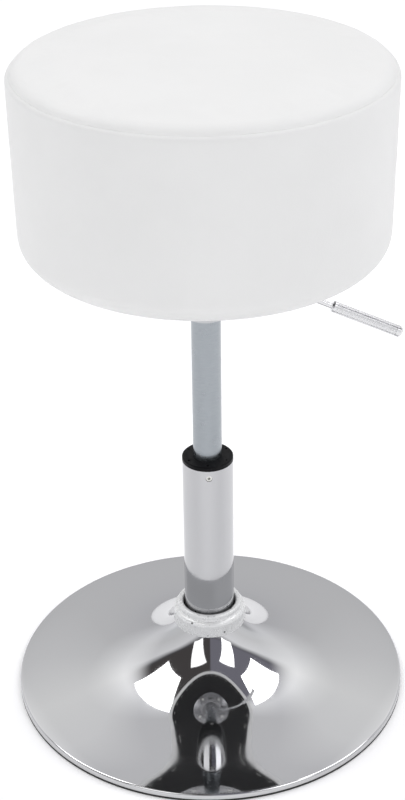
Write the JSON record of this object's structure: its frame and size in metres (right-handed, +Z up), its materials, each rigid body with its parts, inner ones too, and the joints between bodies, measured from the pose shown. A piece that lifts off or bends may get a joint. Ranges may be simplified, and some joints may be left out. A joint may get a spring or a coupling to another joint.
{
  "type": "swivel stool",
  "caption": "Height-adjustable swivel stool: padded drum seat on a gas lift column with a release lever and a weighted trumpet base.",
  "frame": {"origin": "on the floor at the axis of the column, midway across the base", "axes": "+Z up along the column, front towards -Y, +X to the right seen from the front; the lever points to +X, 3.2 degrees behind it, and hangs down by 24.7 degrees"},
  "size_m": [0.397, 0.397, 0.667],
  "materials": {
    "chrome": "polished",
    "satin_chrome": "satin",
    "zinc": "satin",
    "cast_iron": "matte",
    "black_plastic": "matte",
    "rubber": "matte",
    "white_vinyl": "satin",
    "foam": "matte",
    "plywood": "matte",
    "brass": "satin",
    "dust_cloth": "matte"
  },
  "bodies": {
    "base": {"base_shell": "chrome", "floor_ring": "rubber", "base_cover": "black_plastic", "base_weight": "cast_iron", "base_hub": "cast_iron", "hub_bolts": "zinc", "collar_ring": "chrome", "collar_seal": "rubber", "outer_tube": "chrome", "guide_bushing": "black_plastic", "bushing_screws": "zinc", "bearing_lower_race": "satin_chrome"},
    "gas_rod": {"ball_cage": "brass", "bearing_balls": "chrome", "bearing_upper_race": "satin_chrome", "piston_rod": "chrome", "piston_head": "brass", "piston_seal": "rubber", "rubber_buffer": "rubber", "rod_washer": "zinc", "rod_clip": "zinc"},
    "seat": {"gas_cylinder": "satin_chrome", "rod_guide": "brass", "rod_seal": "rubber", "valve_body": "brass", "seat_plate": "satin_chrome", "taper_socket": "satin_chrome", "lever_bracket": "satin_chrome", "lever_pin": "zinc", "plate_bolts": "zinc", "t_nuts": "zinc", "seat_board": "plywood", "side_hoop": "plywood", "top_board": "plywood", "foam_top": "foam", "foam_side": "foam", "seat_cover": "white_vinyl", "dust_cover": "dust_cloth", "cover_staples": "zinc"},
    "valve_pin": {"valve_pin": "chrome"},
    "lever": {"lever_tongue": "satin_chrome", "lever_rod": "chrome", "lever_grip": "chrome"}
  },
  "joints": [
    {"name": "swivel", "type": "hinge", "parent": "base", "child": "gas_rod", "pos_m": [0, 0, 0.03], "axis": [0, 0, 1], "continuous": true},
    {"name": "height", "type": "slide", "parent": "gas_rod", "child": "seat", "axis": [0, 0, 1], "range_m": [-0.14, 0]},
    {"name": "lever_tilt", "type": "hinge", "parent": "seat", "child": "lever", "pos_m": [0.03794, 0.00212, 0.45802], "axis": [0.0558, -0.9984, 0], "range_deg": [0, 6], "stiffness_Nm_per_rad": 1, "springref_deg": -5.73},
    {"name": "valve_press", "type": "slide", "parent": "seat", "child": "valve_pin", "axis": [0, 0, -1], "range_m": [0, 0.004]}
  ],
  "couplings": [
    {"joint": "valve_press", "follows": "lever_tilt", "m_per_rad": 0.038}
  ]
}
